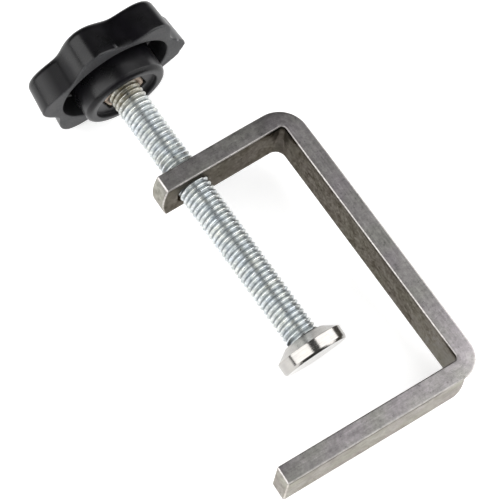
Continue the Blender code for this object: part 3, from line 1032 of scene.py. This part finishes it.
def build_knob():
    """One closed surface from the top's middle, over the rim and hub, into the insert's pocket."""
    edge = 0.0005
    rows = []

    def circle(radius, height):
        rows.append([(radius, height)] * KNOB_STEPS)

    def star(shrink, height, scale=1.0):
        rows.append([
            (scale * star_radius(2 * math.pi * i / KNOB_STEPS, shrink)
             - nick(2 * math.pi * i / KNOB_STEPS, height), height)
            for i in range(KNOB_STEPS)
        ])

    def hexagon(flats, height):
        rows.append([
            (hexagon_radius(2 * math.pi * i / KNOB_STEPS, flats), height)
            for i in range(KNOB_STEPS)
        ])

    circle(0.0, KNOB_HEIGHT)
    circle(0.006, KNOB_HEIGHT)
    circle(0.0115, KNOB_HEIGHT - 0.00005)
    for turn in quarter_turns(6):
        shrink = KNOB_TOP_ROUND * (1 - math.sin(turn))
        drop = KNOB_TOP_ROUND * (1 - math.cos(turn))
        star(shrink, KNOB_HEIGHT - drop, KNOB_TAPER)
    for k in range(1, 6):
        share = k / 6
        height = (KNOB_HEIGHT - KNOB_TOP_ROUND) * (1 - share) + (RIM_HEIGHT + edge) * share
        star(0.0, height, KNOB_TAPER + (1 - KNOB_TAPER) * share)
    for turn in quarter_turns(4):
        star(edge * (1 - math.cos(turn)), RIM_HEIGHT + edge * (1 - math.sin(turn)))
    for share in (0.2, 0.4, 0.6, 0.8):
        rows.append([
            (star_radius(2 * math.pi * i / KNOB_STEPS, edge + NICK_DEPTH * (1 - share) * 0.5)
             * (1 - share) + CAVITY_RADIUS * share, RIM_HEIGHT)
            for i in range(KNOB_STEPS)
        ])
    lip = 0.0003
    for turn in quarter_turns(3):
        circle(CAVITY_RADIUS + lip * (1 - math.sin(turn)), RIM_HEIGHT + lip * (1 - math.cos(turn)))
    corner = 0.0008
    for turn in quarter_turns(4):
        circle(CAVITY_RADIUS - corner * (1 - math.cos(turn)),
               CAVITY_CEILING - corner * (1 - math.sin(turn)))
    for turn in quarter_turns(4):
        circle(HUB_RADIUS + corner * (1 - math.sin(turn)),
               CAVITY_CEILING - corner * (1 - math.cos(turn)))
    for turn in quarter_turns(6):
        circle(HUB_RADIUS - HUB_ROUND * (1 - math.cos(turn)), HUB_ROUND * (1 - math.sin(turn)))
    lip = 0.00025
    for turn in quarter_turns(3):
        circle(HUB_RECESS_RADIUS + lip * (1 - math.sin(turn)), lip * (1 - math.cos(turn)))
    corner = 0.0002
    for turn in quarter_turns(3):
        circle(HUB_RECESS_RADIUS - corner * (1 - math.cos(turn)),
               HUB_RECESS_DEPTH - corner * (1 - math.sin(turn)))
    pocket = INSERT_FLATS + 2 * CLEARANCE
    hexagon(pocket + 0.0003, HUB_RECESS_DEPTH)
    hexagon(pocket, HUB_RECESS_DEPTH + 0.00015)
    hexagon(pocket, INSERT_TOP + CLEARANCE)
    circle(0.0, INSERT_TOP + CLEARANCE)

    points = []
    indices = []
    for row in rows:
        if row[0][0] == 0.0:
            indices.append([len(points)] * KNOB_STEPS)
            points.append((0.0, 0.0, row[0][1]))
            continue
        indices.append([len(points) + i for i in range(KNOB_STEPS)])
        for i, (radius, height) in enumerate(row):
            place = polar(radius, 2 * math.pi * i / KNOB_STEPS)
            points.append((place.x, place.y, height))
    return new_object("clamp_knob", points, ring_faces(indices), KNOB, 40.0)


def knob_satin(place):
    """The rim's lower face and the hub's recess are satin; the outer wall is glossy."""
    radius = math.hypot(place.x, place.y)
    if abs(place.z - RIM_HEIGHT) < 0.0003 and radius > CAVITY_RADIUS - 0.0001:
        return 1.0
    if place.z < HUB_RECESS_DEPTH + 0.0003 and radius < HUB_RADIUS - HUB_ROUND * 0.6:
        return 0.3
    return 0.0


def knob_matt(place):
    """Grease dulls the finger grooves and the hub's end."""
    if place.z < HUB_ROUND:
        return HUB_MATT
    outside = math.hypot(place.x, place.y) > CAVITY_RADIUS + 0.0005
    if not outside or place.z <= RIM_HEIGHT + 0.0001:
        return 0.0
    ridge = math.cos(LOBES * (math.atan2(place.y, place.x) - LOBE_PHASE))
    return clamp01(GROOVE_MATT - GROOVE_MATT_SWING * ridge)


def knob_scuff(place):
    """Pale scrapes on the rim where the knob has been dropped."""
    found = 0.0
    for angle, radius, height, size in SCUFFS:
        spot = polar(radius, math.radians(angle))
        away = (Vector((spot.x, spot.y, height)) - place).length
        found = max(found, clamp01(SCUFF_REACH - away / size))
    return found


def build_insert():
    """A hexagonal nut body with rounded corners and a bore in line with the screw."""
    rows = []
    chamfer = 0.0004
    heights = (
        (INSERT_BOTTOM, chamfer),
        (INSERT_BOTTOM + chamfer, 0.0),
        (INSERT_TOP - chamfer, 0.0),
        (INSERT_TOP, chamfer),
    )
    steps = 120
    for height, shrink in heights:
        rows.append([
            (hexagon_radius(2 * math.pi * i / steps, INSERT_FLATS) - shrink, height)
            for i in range(steps)
        ])
    points = []
    indices = []
    for row in rows:
        indices.append([len(points) + i for i in range(steps)])
        for i, (radius, height) in enumerate(row):
            place = polar(min(radius, INSERT_FLATS / 2 * 1.10), 2 * math.pi * i / steps)
            points.append((place.x, place.y, height))
    faces = ring_faces(indices)
    faces.append(indices[0])
    faces.append(indices[-1])
    insert = new_object("clamp_knob_insert", points, faces, KNOB, 35.0)
    at_hub = CLAMP @ Matrix.Translation((SCREW_X, 0.0, HUB_END_Z))
    bore = lathe("insert_bore", [
        (0.0, INSERT_TOP + 0.002),
        (INSERT_BORE_RADIUS, INSERT_TOP + 0.002),
        (INSERT_BORE_RADIUS, INSERT_BOTTOM - 0.002),
        (0.0, INSERT_BOTTOM - 0.002),
    ], at_hub, 64)
    boolean(insert, bore)
    return insert


# ---------------------------------------------------------------- lights, floor and camera

def area_light(name, place, target, size, power):
    light = bpy.data.lights.new(name, "AREA")
    light.shape = "RECTANGLE"
    light.size, light.size_y = size
    light.energy = power
    made = bpy.data.objects.new(name, light)
    bpy.context.scene.collection.objects.link(made)
    made.location = place
    made.rotation_euler = (Vector(target) - Vector(place)).to_track_quat("-Z", "Y").to_euler()
    made.visible_camera = False
    return made


# The floor is a faintly lit white panel, so the shadows on it stay pale.
FLOOR_GLOW = 0.45
WORLD_GLOW = 0.06
# Name, place, target, size and power.
SOFTBOXES = (
    ("softbox_left", (-0.48, -0.05, 0.435), (0.01, -0.05, -0.02), (1.1, 0.84), 6.6),
    ("softbox_right", (0.50, -0.36, 0.375), (0.0, -0.36, -0.17), (0.96, 0.94), 6.9),
)
CAMERA_LENS = 156.43
CAMERA_PLACE = (-0.12523, -0.18015, 0.44347)
CAMERA_DEGREES = (26.53, -0.237, -34.965)


def build_stage():
    floor = new_object("floor", [(-3, -3, 0), (3, -3, 0), (3, 3, 0), (-3, 3, 0)],
                       [[0, 1, 2, 3]], Matrix.Identity(4))
    material, tree, shader = new_material("floor_white", (0.87, 0.87, 0.87), 0.7, 0.0)
    cloud = noise(tree, object_place(tree), 3.0, 2.0)
    tree.links.new(mix(tree, cloud, (0.86, 0.86, 0.86), (0.88, 0.88, 0.88)),
                   shader.inputs["Base Color"])
    shader.inputs["Emission Color"].default_value = (1.0, 1.0, 1.0, 1.0)
    shader.inputs["Emission Strength"].default_value = FLOOR_GLOW
    floor.data.materials.append(material)

    world = bpy.data.worlds.new("studio")
    bpy.context.scene.world = world
    world.use_nodes = True
    background = world.node_tree.nodes["Background"]
    background.inputs["Color"].default_value = (1.0, 1.0, 1.0, 1.0)
    background.inputs["Strength"].default_value = WORLD_GLOW

    for softbox in SOFTBOXES:
        area_light(*softbox)


def build_camera():
    camera = bpy.data.cameras.new("camera")
    camera.sensor_width = 36.0
    camera.lens = CAMERA_LENS
    camera.clip_start = 0.01
    made = bpy.data.objects.new("camera", camera)
    bpy.context.scene.collection.objects.link(made)
    made.location = CAMERA_PLACE
    made.rotation_euler = [math.radians(angle) for angle in CAMERA_DEGREES]
    bpy.context.scene.camera = made


def finish_piece(piece, node, body, material):
    """Moves the piece's placement into its mesh, so that its box is as tight as the CAD node's."""
    bpy.context.view_layer.update()
    piece.data.transform(piece.matrix_world)
    piece.matrix_world = Matrix.Identity(4)
    piece.data.materials.clear()
    piece.data.materials.append(material)
    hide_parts(node)
    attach(piece, body)


def main():
    steel, zinc, stainless = mill_steel(), zinc_plate(), turned_stainless()
    plastic, rust, spring = black_plastic(), rusty_steel(), spring_steel()

    bar, bar_data = build_frame()
    cut_tapped_hole(bar)
    clean(bar)
    bar.data.shade_smooth()
    bar.data.set_sharp_from_angle(angle=math.radians(30.0))
    mark_frame(bar, bar_data)
    finish_piece(bar, "frame", "frame", steel)
    weight_normals(bar)

    screw = build_screw()
    set_attribute(screw, "groove_depth", groove_depth)
    set_attribute(screw, "dark_below_knob", screw_dark_below_knob)
    finish_piece(screw, "screw", "spindle", zinc)

    foot = build_foot()
    set_attribute(foot, "dull", foot_dull)
    set_attribute(foot, "from_axis", lambda place: math.hypot(place.x, place.y))
    set_attribute(foot, "height", lambda place: place.z)
    finish_piece(foot, "foot", "foot", stainless)
    weight_normals(foot)

    knob = build_knob()
    set_attribute(knob, "satin", knob_satin)
    set_attribute(knob, "scuff", knob_scuff)
    set_attribute(knob, "matt", knob_matt)
    finish_piece(knob, "knob", "spindle", plastic)
    weight_normals(knob)

    insert = build_insert()
    finish_piece(insert, "knob_insert", "spindle", rust)
    weight_normals(insert)

    ring = frame["nodes"]["retaining_ring"]
    ring.data.materials.clear()
    ring.data.materials.append(spring)

    build_stage()
    build_camera()
    bpy.context.scene.view_settings.view_transform = "Standard"


main()
